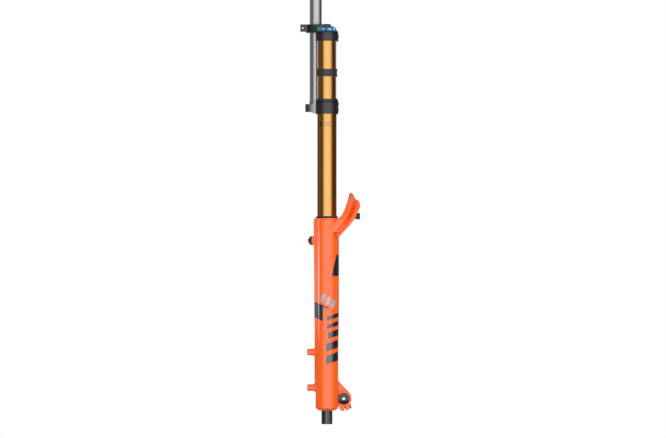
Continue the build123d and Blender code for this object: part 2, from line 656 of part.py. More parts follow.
with BuildPart() as rebound_piston:
    barrel(RIGHT, -366.0, -350.0, CARTRIDGE_BORE - SLIDE_GAP, SHAFT_R)
    for index in range(6):
        spot = Vector(9.2, 0, 0).rotate(Axis.Z, 60 * index)
        bore((RIGHT[0] + spot.X, RIGHT[1] + spot.Y), -367.0, -349.0, 1.6)
save(rebound_piston, "rebound_piston")

with BuildPart() as air_shaft:
    barrel(LEFT, -648.0, -336.0, SHAFT_R)
    barrel(LEFT, LEG_FLOOR, -615.0, 12.0)
save(air_shaft, "air_shaft")

with BuildPart() as air_piston:
    barrel(LEFT, -354.0, -338.0, STANCHION_BORE - SLIDE_GAP, SHAFT_R)
    for z in (-350.0, -342.0):
        with Locations((LEFT[0], LEFT[1], z)):
            Torus(STANCHION_BORE, 1.2, mode=Mode.SUBTRACT)
save(air_piston, "air_piston")

with BuildPart() as crush_washers:
    for at in (RIGHT, LEFT):
        barrel(at, -638.1, LEG_TIP, 8.6, SHAFT_R + 0.1)
save(crush_washers, "crush_washers")

with BuildPart() as damper_foot_nut:
    barrel(RIGHT, -644.0, -638.1, 10.1)
    hexagon(RIGHT, -650.0, -644.0, 15.0)
    bore(RIGHT, -651.0, -638.0, SHAFT_R)
save(damper_foot_nut, "damper_foot_nut")

with BuildPart() as air_foot_nut:
    barrel(LEFT, -640.6, -638.1, 10.1)
    hexagon(LEFT, -648.0, -640.6, 16.0)
    bore(LEFT, -649.0, -638.0, SHAFT_R)
save(air_foot_nut, "air_foot_nut")

with BuildPart() as high_speed_rebound_knob:
    barrel(RIGHT, -655.4, -650.6, 8.8)
    for index in range(10):
        spot = Vector(9.6, 0, 0).rotate(Axis.Z, 36 * index)
        bore((RIGHT[0] + spot.X, RIGHT[1] + spot.Y), -656.0, -650.0, 1.6)
    bore(RIGHT, -656.0, -650.0, 2.0 + SLIDE_GAP)
save(high_speed_rebound_knob, "high_speed_rebound_knob")

with BuildPart() as low_speed_rebound_knob:
    hexagon(RIGHT, -660.8, -655.6, 10.0)
    bore(RIGHT, -661.0, -655.0, 2.0 + SLIDE_GAP)
save(low_speed_rebound_knob, "low_speed_rebound_knob")

with BuildPart() as rebound_cap:
    barrel(RIGHT, -665.4, -637.5, 11.35)
    fillet(rebound_cap.edges().group_by(Axis.Z)[0], 1.4)
    bore(RIGHT, -663.6, -637.0, 10.1 + SLIDE_GAP)
save(rebound_cap, "rebound_cap")

# ---- axle, clamp and hose guide -----------------------------------------------------------

with BuildPart() as axle:
    crosswise(AXLE_X, -88.0, 84.0, AXLE_Z, AXLE_R)
    crosswise(AXLE_X, -92.0, -86.1, AXLE_Z, 11.3)
    crosswise(AXLE_X, -78.0, 85.0, AXLE_Z, 7.4, Mode.SUBTRACT)
    crosswise(AXLE_X, -93.0, -77.0, AXLE_Z, 2.8, Mode.SUBTRACT)
    with BuildSketch(Plane(origin=(AXLE_X, -92.0, AXLE_Z), z_dir=(0, 1, 0))) as socket:
        RegularPolygon(3.0, 6, major_radius=False)
    extrude(socket.sketch, amount=8.0, mode=Mode.SUBTRACT)
save(axle, "axle")

with BuildPart() as axle_insert:
    crosswise(AXLE_X, HUB_HALF, 89.0, AXLE_Z, 12.0)
    crosswise(AXLE_X, HUB_HALF - 1, 90.0, AXLE_Z, AXLE_R + SLIDE_GAP, Mode.SUBTRACT)
save(axle_insert, "axle_insert")

with BuildPart() as axle_pinch_bolt:
    with Locations(PINCH_PLANE):
        Cylinder(2.5, 22.0)
        with Locations((0, 0, 11.4)):
            Cylinder(4.2, 4.0)
        with Locations((0, 0, 12.6)):
            Cylinder(2.1, 2.4, mode=Mode.SUBTRACT)
save(axle_pinch_bolt, "axle_pinch_bolt")

with BuildPart() as brake_hose_guide:
    with Locations((GUIDE_X + 1.4, GUIDE_Y + 4.5, GUIDE_Z)):
        Box(2.8, 21.0, 13.4)
    with Locations((GUIDE_X + 4.6, GUIDE_Y + 10.5, GUIDE_Z)):
        Cylinder(4.6, 13.4)
        Cylinder(2.6, 14.4, mode=Mode.SUBTRACT)
    with Locations((GUIDE_X + 4.6, GUIDE_Y + 16.0, GUIDE_Z)):
        Box(3.0, 8.0, 14.0, mode=Mode.SUBTRACT)
    fore_aft(GUIDE_X - 1, GUIDE_X + 4, GUIDE_Y, GUIDE_Z, 2.1, Mode.SUBTRACT)
save(brake_hose_guide, "brake_hose_guide")

with BuildPart() as hose_guide_screw:
    fore_aft(GUIDE_X - 9.0, GUIDE_X + 2.8, GUIDE_Y, GUIDE_Z, 2.05)
    fore_aft(GUIDE_X + 2.8, GUIDE_X + 6.6, GUIDE_Y, GUIDE_Z, 3.6)
    fillet(hose_guide_screw.edges().group_by(Axis.X)[-1], 0.8)
    fore_aft(GUIDE_X + 5.0, GUIDE_X + 7.0, GUIDE_Y, GUIDE_Z, 1.6, Mode.SUBTRACT)
save(hose_guide_screw, "hose_guide_screw")
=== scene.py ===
import json
import math

import bpy
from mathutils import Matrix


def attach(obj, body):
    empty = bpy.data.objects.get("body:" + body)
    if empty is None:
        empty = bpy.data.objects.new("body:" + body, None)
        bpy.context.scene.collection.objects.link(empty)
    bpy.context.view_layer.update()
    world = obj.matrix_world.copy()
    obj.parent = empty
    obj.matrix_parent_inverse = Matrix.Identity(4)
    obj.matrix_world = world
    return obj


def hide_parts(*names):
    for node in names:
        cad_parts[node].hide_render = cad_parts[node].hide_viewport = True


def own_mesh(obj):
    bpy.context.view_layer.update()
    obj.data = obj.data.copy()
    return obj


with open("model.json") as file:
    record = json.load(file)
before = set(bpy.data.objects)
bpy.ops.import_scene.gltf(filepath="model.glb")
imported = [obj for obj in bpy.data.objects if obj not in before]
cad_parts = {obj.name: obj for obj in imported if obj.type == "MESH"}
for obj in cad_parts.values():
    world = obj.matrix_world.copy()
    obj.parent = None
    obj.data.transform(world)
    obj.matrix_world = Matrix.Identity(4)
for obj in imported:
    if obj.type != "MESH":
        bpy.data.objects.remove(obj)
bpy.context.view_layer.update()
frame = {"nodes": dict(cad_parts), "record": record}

MM = 0.001
LEG_X, LEG_Y = 23 * MM, 92 * MM

CLOUD_SCALE, FINE_SCALE, WEAR_SCALE, DUST_SCALE = 38, 420, 160, 2600  # noise cells per metre
CLOUD_SHARE = 0.7  # of the colour variation, the rest is the fine noise
PAINTED_GLINT_STEEP, PAINTED_GLINT_FLAT = 0.6, 0.35  # height of a mirrored direction where a glint begins and is full

# ---- shader helpers ------------------------------------------------------------------


class Net:
    """A short way to write node trees."""

    def __init__(self, tree):
        self.tree = tree
        tree.nodes.clear()

    def put(self, value, socket):
        if isinstance(value, bpy.types.NodeSocket):
            self.tree.links.new(value, socket)
        elif value is not None:
            socket.default_value = value

    def node(self, kind, inputs=None, **settings):
        n = self.tree.nodes.new(kind)
        for key, value in settings.items():
            setattr(n, key, value)
        for key, value in (inputs or {}).items():
            self.put(value, n.inputs[key])
        return n

    def math(self, operation, a, b=None, c=None, clamp=False):
        n = self.node("ShaderNodeMath", operation=operation, use_clamp=clamp)
        for i, value in enumerate((a, b, c)):
            self.put(value, n.inputs[i])
        return n.outputs[0]

    def between(self, value, low, high):
        above = self.math("GREATER_THAN", value, low)
        return self.math("MULTIPLY", above, self.math("LESS_THAN", value, high))

    def both(self, *masks):
        total = masks[0]
        for m in masks[1:]:
            total = self.math("MULTIPLY", total, m)
        return total

    def either(self, *masks):
        total = masks[0]
        for m in masks[1:]:
            total = self.math("MAXIMUM", total, m)
        return total

    def mix(self, factor, a, b):
        n = self.tree.nodes.new("ShaderNodeMix")
        n.data_type = "RGBA"
        self.put(factor, n.inputs[0])
        for value, socket in ((a, n.inputs[6]), (b, n.inputs[7])):
            self.put((*value, 1.0) if isinstance(value, tuple) and len(value) == 3 else value, socket)
        return n.outputs[2]

    def ramp(self, value, stops):
        n = self.node("ShaderNodeValToRGB", {"Fac": value})
        while len(n.color_ramp.elements) < len(stops):
            n.color_ramp.elements.new(0.5)
        for element, (at, level) in zip(n.color_ramp.elements, stops):
            element.position = at
            element.color = (*level, 1.0) if isinstance(level, tuple) else (level, level, level, 1.0)
        return n.outputs[0]

    def turn(self, right, away):
        """Angle round the camera's upright axis as a share of a turn; 0.5 points at the camera."""
        angle = self.math("ARCTAN2", right, self.math("MULTIPLY", away, -1.0))
        return self.math("MULTIPLY_ADD", angle, 1 / (2 * math.pi), 0.5)

    def painted_glint(self, stops):
        """Painted highlight: a glow whose brightness follows the angle at which the surface mirrors the
        studio.
        """
        mirrored = self.node("ShaderNodeTexCoord").outputs["Reflection"]
        local = self.node("ShaderNodeVectorTransform", {"Vector": mirrored}, vector_type="VECTOR",
                          convert_from="WORLD", convert_to="CAMERA")
        xyz = self.node("ShaderNodeSeparateXYZ", {"Vector": local.outputs[0]})
        turn = self.turn(xyz.outputs[0], xyz.outputs[2])
        level = self.ramp(turn, [((a + 180) / 360, level) for a, level in stops])
        height = self.math("ABSOLUTE", xyz.outputs[1])
        near_level = {"Value": height, "From Min": PAINTED_GLINT_STEEP, "From Max": PAINTED_GLINT_FLAT}
        flat = self.node("ShaderNodeMapRange", near_level)
        return self.math("MULTIPLY", level, flat.outputs[0])

    def noise(self, coords, scale, detail=3.0, rough=0.55):
        n = self.node("ShaderNodeTexNoise", {
            "Vector": coords, "Scale": scale, "Detail": detail, "Roughness": rough})
        return n.outputs[0]

    def stretched(self, coords, scale):
        n = self.node("ShaderNodeVectorMath", operation="MULTIPLY")
        self.put(coords, n.inputs[0])
        n.inputs[1].default_value = scale
        return n.outputs[0]


class Finish:
    """A principled material with tone, roughness and surface variation and worn edges."""

    def __init__(self, name, color, metallic=0.0, rough=0.35, tone=0.06, rough_spread=0.08, grain=None,
                 grain_depth=0.0, peel=0.0, peel_scale=700, wear=0.0, wear_color=(0.4, 0.4, 0.4),
                 edge=0.35, ior=1.5, specks=0.0, extra=None, sheen=0.0, painted_glint=None,
                 painted_glint_color=(1.0, 1.0, 1.0), painted_glint_where=None, painted_side_tint=None):
        """In millimetres: edge rounds the edges, and peel and grain_depth are bump heights."""
        self.material = bpy.data.materials.new(name)
        self.material.use_nodes = True
        net = self.net = Net(self.material.node_tree)
        coords = net.node("ShaderNodeTexCoord").outputs["Object"]
        self.xyz = net.node("ShaderNodeSeparateXYZ", {"Vector": coords})
        cloud = net.noise(coords, CLOUD_SCALE, 4)
        fine = net.noise(coords, FINE_SCALE, 3)
        base = net.mix(
            net.math("MULTIPLY_ADD", cloud, CLOUD_SHARE, net.math("MULTIPLY", fine, 0.3)),
            tuple(c * (1 - tone) for c in color), tuple(min(1.0, c * (1 + tone)) for c in color),
        )
        roughness = net.math("MULTIPLY_ADD", net.math("SUBTRACT", cloud, 0.5), rough_spread * 2, rough)
        if grain:
            lines = net.noise(net.stretched(coords, grain), 1.0, 2)
            off_middle = net.math("SUBTRACT", lines, 0.5)
            roughness = net.math("MULTIPLY_ADD", off_middle, rough_spread * 2, roughness)
        # Painted light and shade: the base colour holds only where the surface nearly faces the camera
        # and turns to the darker side tint where it turns away.
        if painted_side_tint:
            facing = net.node("ShaderNodeLayerWeight", {"Blend": 0.5}).outputs["Facing"]
            turned = net.node("ShaderNodeMapRange", {
                "Value": facing, "From Min": 0.035, "From Max": 0.12})
            base = net.mix(turned.outputs[0], base, painted_side_tint)
        self.specular = 0.5
        if extra:
            base, roughness = extra(self, coords, base, roughness)
        geometry = net.node("ShaderNodeNewGeometry")
        normal = geometry.outputs["Normal"]
        if edge:
            bevel = net.node("ShaderNodeBevel", {"Radius": edge * MM}, samples=4)
            normal = bevel.outputs[0]
        if wear:
            dot = net.node("ShaderNodeVectorMath", operation="DOT_PRODUCT")
            net.put(bevel.outputs[0], dot.inputs[0])
            net.put(geometry.outputs["Normal"], dot.inputs[1])
            worn = net.math("SUBTRACT", 1.0, dot.outputs["Value"])
            patchy = net.math("MULTIPLY", net.noise(coords, WEAR_SCALE, 4), 14.0)
            worn = net.math("MULTIPLY", worn, patchy, clamp=True)
            base = net.mix(net.math("MULTIPLY", worn, wear), base, wear_color)
        if specks:
            dust = net.math("GREATER_THAN", net.noise(coords, DUST_SCALE, 1), 0.74)
            base = net.mix(net.math("MULTIPLY", dust, specks), base, (0.5, 0.5, 0.5))
        heights = []
        if peel:
            heights.append(net.math("MULTIPLY", net.noise(coords, peel_scale, 2), peel))
        if grain and grain_depth:
            heights.append(net.math("MULTIPLY", lines, grain_depth))
        for h in heights:
            bump = net.node("ShaderNodeBump", {
                "Height": h, "Strength": 1.0, "Distance": MM, "Normal": normal})
            normal = bump.outputs[0]
        self.bsdf = net.node("ShaderNodeBsdfPrincipled", {
            "Base Color": base, "Metallic": metallic, "Roughness": roughness, "Normal": normal,
            "IOR": ior, "Sheen Weight": sheen, "Sheen Roughness": 0.4,
            "Specular IOR Level": self.specular,
        })
        # Painted highlight: emission seen only by camera rays, as bright as the glint list gives for the
        # mirrored angle.
        if painted_glint:
            seen = net.node("ShaderNodeLightPath").outputs["Is Camera Ray"]
            painted_glow = net.math("MULTIPLY", net.painted_glint(painted_glint), seen)
            if painted_glint_where:
                painted_glow = net.math("MULTIPLY", painted_glow, painted_glint_where(self))
            net.put(painted_glow, self.bsdf.inputs["Emission Strength"])
            net.put((*painted_glint_color, 1.0), self.bsdf.inputs["Emission Color"])
        out = net.node("ShaderNodeOutputMaterial")
        net.put(self.bsdf.outputs[0], out.inputs[0])


def fade(finish, axis, low, high):
    """0 at low and 1 at high along one of the object's axes, in millimetres."""
    scaled = finish.net.node("ShaderNodeMapRange", {
        "Value": finish.xyz.outputs[axis], "From Min": low * MM, "From Max": high * MM})
    return scaled.outputs[0]


# Where the gold's painted highlights show: above the lower crown.
def gold_highlight_zone(finish):
    return fade(finish, 2, -22, -14)


def crown_highlight_zone(finish):
    """Where the lower crown's painted highlights show: its arms and the strip beside its clamp rings,
    not the rings themselves.
    """
    net = finish.net
    side = net.math("ABSOLUTE", finish.xyz.outputs[1])
    beside_ring = net.both(net.between(side, 67.9 * MM, 92 * MM), fade(finish, 0, 1.2, 0.4))
    arms = net.either(net.between(side, 18 * MM, 68 * MM), beside_ring)
    return net.both(arms, fade(finish, 2, 30, 20), fade(finish, 0, -14.5, -4.0))


def dial_highlight_zone(finish):
    """Where the dial's painted highlights show: the scalloped rim below its sloping top."""
    return fade(finish, 2, 158.4, 157.6)


def leg_highlight_zone(finish):
    """Strength of the legs' painted highlight: full where the leg is thickest, fading towards the collar
    and the foot.
    """
    net = finish.net
    from_top = net.math("MULTIPLY_ADD", fade(finish, 2, -250, -350), 0.55, 0.45)
    return net.math("MULTIPLY", from_top, fade(finish, 2, -505, -400))


def leg_plane(finish):
    """Place on the leg's outer side, in millimetres: u forwards of its axis, v upwards, and the side."""
    net = finish.net
    u = net.math("MULTIPLY", net.math("SUBTRACT", finish.xyz.outputs[0], LEG_X), 1000.0)
    v = net.math("MULTIPLY", finish.xyz.outputs[2], 1000.0)
    return u, v, net.math("ABSOLUTE", finish.xyz.outputs[1])


def leg_graphics(finish, coords, base, roughness):
    """Generic blocks and stripes on the outer side of each lower leg."""
    net = finish.net
    u, v, side = leg_plane(finish)
    outer = net.math("GREATER_THAN", side, LEG_Y - 0.5 * MM)

    def shape(u_low, u_high, v_low, v_high, slant_u=0.0, slant_v=0.0):
        """A parallelogram: u sheared by v, v sheared by u."""
        uu = net.math("SUBTRACT", u, net.math("MULTIPLY", net.math("SUBTRACT", v, v_low), slant_u))
        vv = net.math("SUBTRACT", v, net.math("MULTIPLY", u, slant_v))
        return net.both(net.between(uu, u_low, u_high), net.between(vv, v_low, v_high))

    wedge_low, wedge_high, wedge_slope = -357.5, -313.0, 0.24
    drift = net.math("MULTIPLY", net.math("ADD", v, -wedge_low), wedge_slope)
    wedge = net.both(
        net.between(v, wedge_low, wedge_high),
        net.math("GREATER_THAN", net.math("SUBTRACT", u, drift), 9.5),
    )
    stripes = [  # rear end, lower edge and height
        (0.0, -451.0, 9.0), (0.0, -468.0, 9.0), (2.0, -489.0, 13.0), (-2.0, -514.0, 16.0),
        (-2.0, -541.0, 18.0),
    ]
    dark = net.either(
        wedge,
        shape(-26.0, -8.0, -455.0, -425.0, 0.0, -0.45),
        shape(-26.0, 4.0, -426.0, -421.5, 0.0, -0.42),
        *[shape(u_low, 40.0, v_low, v_low + height, 0.0, 0.35) for u_low, v_low, height in stripes],
    )
    bars = [shape(u_low, u_low + 8.0, -417.0, -399.0, 0.35, -0.5) for u_low in (-17.0, -4.0, 9.0)]
    grey = net.either(*bars)
    grey, dark = net.both(grey, outer), net.both(dark, outer)
    base = net.mix(grey, base, (0.34, 0.38, 0.40))
    base = net.mix(dark, base, (0.006, 0.007, 0.009))
    finish.specular = net.math("MULTIPLY_ADD", net.either(dark, grey), 0.4, 0.5)
    return base, roughness


def axle_painted_shade(finish, coords, base, roughness):
    """Painted shade: the axle's outer head mirrors less below its middle, so that half reads darker, as
    if it turned away there.
    """
    net = finish.net
    lit = net.math("MAXIMUM", fade(finish, 2, -618.5, -615.0), fade(finish, 1, -84, -82))
    finish.specular = net.math("MULTIPLY_ADD", lit, 0.45, 0.05)
    return base, roughness


def socket_painted_highlight(finish, coords, base, roughness):
    """Painted highlight: a light grey disc in the bottom of the clamp bolt's socket."""
    net = finish.net
    bolt_x, bolt_z, socket_r = -27.4, 158.1, 2.2
    across = net.math("SUBTRACT", finish.xyz.outputs[0], bolt_x * MM)
    along = net.math("SUBTRACT", finish.xyz.outputs[2], bolt_z * MM)
    squares = net.math("ADD", net.math("POWER", across, 2.0), net.math("POWER", along, 2.0))
    inside = net.math("LESS_THAN", net.math("SQRT", squares), socket_r * MM)
    return net.mix(inside, base, (0.42, 0.42, 0.43)), roughness


def dial_top_painted_light(finish, coords, base, roughness):
    """Painted light: the dial's sloping top gets a brighter blue base than its rim, to read as catching
    more light.
    """
    return finish.net.mix(fade(finish, 2, 157.6, 158.4), base, (0.026, 0.088, 0.31)), roughness


def clamp_ring_painted_shade(finish, coords, base, roughness):
    """Painted shade: a fine dark, duller line below the top edge of each clamp ring."""
    net = finish.net
    ring = net.math("GREATER_THAN", net.math("ABSOLUTE", finish.xyz.outputs[1]), 66 * MM)
    z = finish.xyz.outputs[2]
    line = net.either(net.between(z, 3.4 * MM, 5.6 * MM), net.between(z, 145.6 * MM, 147.2 * MM))
    line = net.both(line, ring)
    finish.specular = net.math("MULTIPLY_ADD", line, -0.30, 0.5)
    return net.mix(line, base, (0.003, 0.003, 0.003)), roughness


def stanchion_marks(finish, coords, base, roughness):
    """A small generic printed mark on the outer side below the lower crown."""
    net = finish.net
    u, v, side = leg_plane(finish)
    outer = net.math("GREATER_THAN", side, LEG_Y)
    block = net.either(
        net.both(net.between(u, -15.0, -11.5), net.between(v, -47.0, -37.0)),
        net.both(net.between(u, -7.0, 9.0), net.between(v, -39.6, -38.6)),
        net.both(net.between(u, -7.0, 5.0), net.between(v, -42.6, -41.8)),
        net.both(net.between(u, -7.0, 15.0), net.between(v, -45.6, -44.6)),
    )
    return net.mix(net.both(block, outer, 0.75), base, (0.05, 0.03, 0.015)), roughness


# Painted highlights, glowing for the camera only: pairs of an angle in degrees and a brightness.
# The angle is the mirrored direction's, round the camera's upright axis: 0 points at the camera, plus is
# to the right.
# Gold: painted highlights along both rims above the lower crown, and a painted side tint.
GOLD = Finish(
    "gold_coating", (0.402, 0.221, 0.079), 1.0, 0.13, tone=0.03, rough_spread=0.03,
    grain=(6, 6, 2600), grain_depth=0.002, edge=0.3, extra=stanchion_marks,
    painted_side_tint=(0.385, 0.165, 0.027), painted_glint_where=gold_highlight_zone,
    painted_glint=[(-180, 0.9), (-155, 0.5), (-140, 0.1), (-125, 0.0), (120, 0.0), (130, 0.10), (180, 0.9)],
)
# Steerer: painted near-white highlights along both edges, glowing for the camera.
STEERER = Finish(
    "steerer_alloy", (0.245, 0.247, 0.25), 1.0, 0.22, tone=0.05, rough_spread=0.05,
    grain=(9, 9, 1400), grain_depth=0.003, wear=0.3, wear_color=(0.5, 0.5, 0.5),
    painted_glint=[(-180, 1.0), (-150, 0.9), (-128, 0.5), (-117, 0.12), (-105, 0.05), (-60, 0.04), (-50, 0.0),
           (90, 0.0), (98, 0.05), (110, 0.25), (126, 0.75), (140, 1.0), (180, 1.0)],
)
# Crown: painted highlights on the lower crown's arms and beside its rings, glowing for the camera.
CROWN = Finish(
    "crown_black", (0.006, 0.006, 0.007), 0.0, 0.34, tone=0.25, rough_spread=0.07, peel=0.010,
    peel_scale=1500, wear=0.35, wear_color=(0.10, 0.10, 0.105), edge=0.7, ior=1.50,
    extra=clamp_ring_painted_shade, painted_glint_where=crown_highlight_zone,
    painted_glint=[(-180, 0.55), (-150, 0.5), (-125, 0.32), (-100, 0.12), (-60, 0.03), (-30, 0.0), (150, 0.0),
           (180, 0.4)],
)
TURNED_BLACK = dict(
    metallic=0.0, tone=0.2, rough_spread=0.06, grain=(30, 30, 1800), wear=0.4,
    wear_color=(0.12, 0.12, 0.12), edge=0.45,
)
TOP_CAP = Finish("top_cap_black", (0.007, 0.007, 0.008), rough=0.30, ior=1.33, grain_depth=0.010,
                 **TURNED_BLACK)
BLACK_CAP = Finish("turned_black", (0.012, 0.012, 0.013), rough=0.30, grain_depth=0.010, **TURNED_BLACK)
AXLE = Finish("axle_black", (0.012, 0.012, 0.013), rough=0.28, grain_depth=0.006, extra=axle_painted_shade,
              **TURNED_BLACK)
# Rebound cap: painted highlight bands down its front and sides, glowing for the camera.
FOOT_CAP = Finish(
    "fluted_black", (0.008, 0.008, 0.009), 0.0, 0.12, tone=0.2, rough_spread=0.04,
    grain=(30, 30, 1800), grain_depth=0.004, wear=0.4, wear_color=(0.12, 0.12, 0.12), edge=0.35,
    painted_glint=[(-180, 0.0), (-95, 0.0), (-84, 0.02), (-70, 0.015), (-50, 0.0), (-22, 0.0), (-14, 0.08),
           (-4, 0.08), (4, 0.01), (60, 0.0), (70, 0.03), (90, 0.04), (100, 0.0), (180, 0.0)],
)
BLEEDER = Finish(
    "bleeder_black", (0.012, 0.012, 0.013), 0.0, 0.20, tone=0.2, rough_spread=0.05, peel=0.006,
    wear=0.4, wear_color=(0.12, 0.12, 0.12), edge=0.4,
)
BOLT_BLACK = dict(
    color=(0.02, 0.02, 0.022), metallic=0.6, tone=0.25, rough_spread=0.1, peel=0.01, wear=0.6,
    wear_color=(0.25, 0.25, 0.26), edge=0.25,
)
SOCKET = Finish("clamp_bolt", rough=0.30, extra=socket_painted_highlight, **BOLT_BLACK)
BOLT = Finish("bolt_black", rough=0.38, **BOLT_BLACK)
RUBBER = Finish(
    "rubber_black", (0.012, 0.012, 0.013), 0.0, 0.52, tone=0.25, rough_spread=0.08, peel=0.03,
    peel_scale=2200, edge=0.6, specks=0.05, sheen=0.12,
)
# Dial: painted cyan highlights on the scalloped rim, glowing for the camera.
BLUE = Finish(
    "dial_blue", (0.018, 0.075, 0.170), 1.0, 0.20, tone=0.12, rough_spread=0.05,
    grain=(40, 40, 1500), grain_depth=0.006, wear=0.3, wear_color=(0.20, 0.50, 0.85), edge=0.4,
    extra=dial_top_painted_light, painted_glint_color=(0.26, 1.0, 1.6), painted_glint_where=dial_highlight_zone,
    painted_glint=[(-145, 0.2), (-128, 0.45), (-108, 0.02), (-100, 0.0), (-87, 0.10), (-71, 0.34), (-58, 0.10),
           (-43, 0.05), (-30, 0.0), (8, 0.0), (17, 0.9), (45, 1.1), (58, 0.30), (72, 0.03), (89, 0.09),
           (108, 0.3), (132, 0.2)],
)
ALLOY = Finish("machined_alloy", (0.62, 0.63, 0.64), 1.0, 0.27, tone=0.06, rough_spread=0.08,
               grain=(20, 20, 2200), grain_depth=0.01, wear=0.2, wear_color=(0.8, 0.8, 0.8))
STEEL = Finish("ground_steel", (0.66, 0.66, 0.68), 1.0, 0.12, tone=0.03, rough_spread=0.03,
               grain=(8, 8, 3200))
SPRING = Finish("spring_steel", (0.40, 0.41, 0.43), 1.0, 0.33, tone=0.1, rough_spread=0.08, peel=0.01)
PLASTIC = Finish("moulded_black", (0.016, 0.016, 0.017), 0.0, 0.42, tone=0.2, rough_spread=0.06,
                 peel=0.02, peel_scale=2600, edge=0.4)
GREY = Finish("moulded_grey", (0.18, 0.19, 0.20), 0.0, 0.5, tone=0.15, rough_spread=0.08, peel=0.03,
              edge=0.4)
BRONZE = Finish("bushing_bronze", (0.42, 0.29, 0.14), 1.0, 0.4, tone=0.12, rough_spread=0.1, peel=0.01)
COPPER = Finish("copper_washer", (0.60, 0.28, 0.15), 1.0, 0.35, tone=0.12, rough_spread=0.1)
RED = Finish("knob_red", (0.42, 0.016, 0.012), 1.0, 0.26, tone=0.1, rough_spread=0.05,
             grain=(40, 40, 1500), wear=0.4, wear_color=(0.8, 0.3, 0.25))
# Legs: a painted highlight line down the rear of each leg's upper part, glowing for the camera.
PAINT = Finish(
    "leg_orange", (1.0, 0.124, 0.004), 0.0, 0.12, tone=0.02, rough_spread=0.02, peel=0.002,
    peel_scale=700, edge=0, ior=1.55, extra=leg_graphics, painted_glint_where=leg_highlight_zone,
    painted_glint=[(-180, 0.0), (-110, 0.0), (-101, 0.05), (-95, 0.32), (-84, 0.32), (-76, 0.09), (-66, 0.0),
           (180, 0.0)],
)

SLOT_FINISH = {
    "steerer_alloy": STEERER, "crown_black": CROWN, "bolt_black": BOLT, "stanchion_gold": GOLD,
    "rubber_black": RUBBER, "dial_blue": BLUE, "dial_black": BLACK_CAP, "machined_alloy": ALLOY,
    "polished_steel": STEEL, "spring_steel": SPRING, "polymer_black": PLASTIC, "polymer_grey": GREY,
    "bushing_bronze": BRONZE, "copper_washer": COPPER, "knob_red": RED, "leg_orange": PAINT,
}
NODE_FINISH = {
    "rebound_cap": FOOT_CAP, "axle": AXLE, "steerer_clamp_bolt": SOCKET,
    "bleeder_body_left": BLEEDER, "bleeder_body_right": BLEEDER,
    "bleeder_button_left": BLEEDER, "bleeder_button_right": BLEEDER,
    "damper_top_cap": TOP_CAP, "air_top_cap": TOP_CAP, "air_valve_cap": BLACK_CAP,
}

slot_of = {s["node"]: s["material_slot"] for s in frame["record"]["subparts"]}


def dress(obj, finish):
    obj.data.materials.clear()
    obj.data.materials.append(finish.material)


def show(name, data):
    """A new object in the scene."""
    obj = bpy.data.objects.new(name, data)
    bpy.context.scene.collection.objects.link(obj)
    return obj


for name, obj in frame["nodes"].items():
    dress(obj, NODE_FINISH.get(name, SLOT_FINISH[slot_of[name]]))

# ---- lower leg casting skin -------------------------------------------------------------

SKIN_VOXEL, SKIN_SMOOTHING = 0.8, 14


def casting_skin():
    """The casting with its joins blended and its edges rounded, as cast."""
    source = frame["nodes"]["lower_leg_casting"]
    skin = show("casting_skin", source.data.copy())
    remesh = skin.modifiers.new("remesh", "REMESH")
    remesh.mode = "VOXEL"
    remesh.voxel_size = SKIN_VOXEL * MM
    remesh.use_smooth_shade = True
    smooth = skin.modifiers.new("smooth", "SMOOTH")
    smooth.factor = 0.5
    smooth.iterations = SKIN_SMOOTHING
    depsgraph = bpy.context.evaluated_depsgraph_get()
    baked = bpy.data.meshes.new_from_object(skin.evaluated_get(depsgraph))
    skin.modifiers.clear()
    skin.data = baked
    dress(skin, PAINT)
    baked.shade_smooth()
    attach(skin, "lowers")
    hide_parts("lower_leg_casting")


casting_skin()

# ---- turned and moulded pieces with finer profiles ----------------------------------------

BUMPER_PROFILE = [  # radius and height, in millimetres: two beads and a low rib between them
    (20.05, 57.0), (21.4, 57.0), (21.75, 57.4), (21.8, 59.5), (21.5, 60.3), (20.9, 60.8), (20.7, 62.5),
    (21.0, 63.2), (21.2, 64.1), (21.2, 65.7), (21.0, 66.6), (20.7, 67.3), (20.9, 69.0), (21.5, 69.5),
    (21.8, 70.3), (21.75, 72.4), (21.4, 72.8), (20.05, 72.8),
]
WIPER_PROFILE = [  # a flange, a groove and a lip that leans onto the stanchion
    (23.9, -246.9), (23.9, -237.35), (22.9, -237.3), (22.5, -237.0), (22.2, -236.5), (22.3, -236.0),
    (22.8, -235.6), (22.9, -235.1), (22.8, -234.4), (22.3, -233.8), (21.4, -233.3), (20.6, -233.1),
    (20.06, -233.3), (20.3, -234.0), (20.06, -234.7), (20.06, -246.9),
]


def band(here, there, n):
    """The faces between two closed rows of n points, which start at here and there."""
    return [(here + k, there + k, there + (k + 1) % n, here + (k + 1) % n) for k in range(n)]


def lathe(name, at, profile, segments=112):
    """A closed ring turned round an upright axis."""
    verts = []
    for i in range(segments):
        turn = 2 * math.pi * i / segments
        across, along = math.cos(turn), math.sin(turn)
        verts += [((at[0] + r * across) * MM, (at[1] + r * along) * MM, z * MM) for r, z in profile]
    n = len(profile)
    faces = []
    for i in range(segments):
        here, there = i * n, (i + 1) % segments * n
        faces += band(here, there, n)
    mesh = bpy.data.meshes.new(name)
    mesh.from_pydata(verts, [], faces)
    mesh.shade_smooth()
    mesh.set_sharp_from_angle(angle=math.radians(50))
    return show(name, mesh)


RINGS = (("frame_bumper", BUMPER_PROFILE, "chassis"), ("wiper_seal", WIPER_PROFILE, "lowers"))
for side, way in (("right", -1), ("left", 1)):
    for part, profile, body in RINGS:
        ring = lathe(f"{part}_rubber_{side}", (LEG_X / MM, way * LEG_Y / MM), profile)
        dress(ring, RUBBER)
        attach(ring, body)
        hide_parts(f"{part}_{side}")

# ---- the spring above the damper's floating piston ----------------------------------------

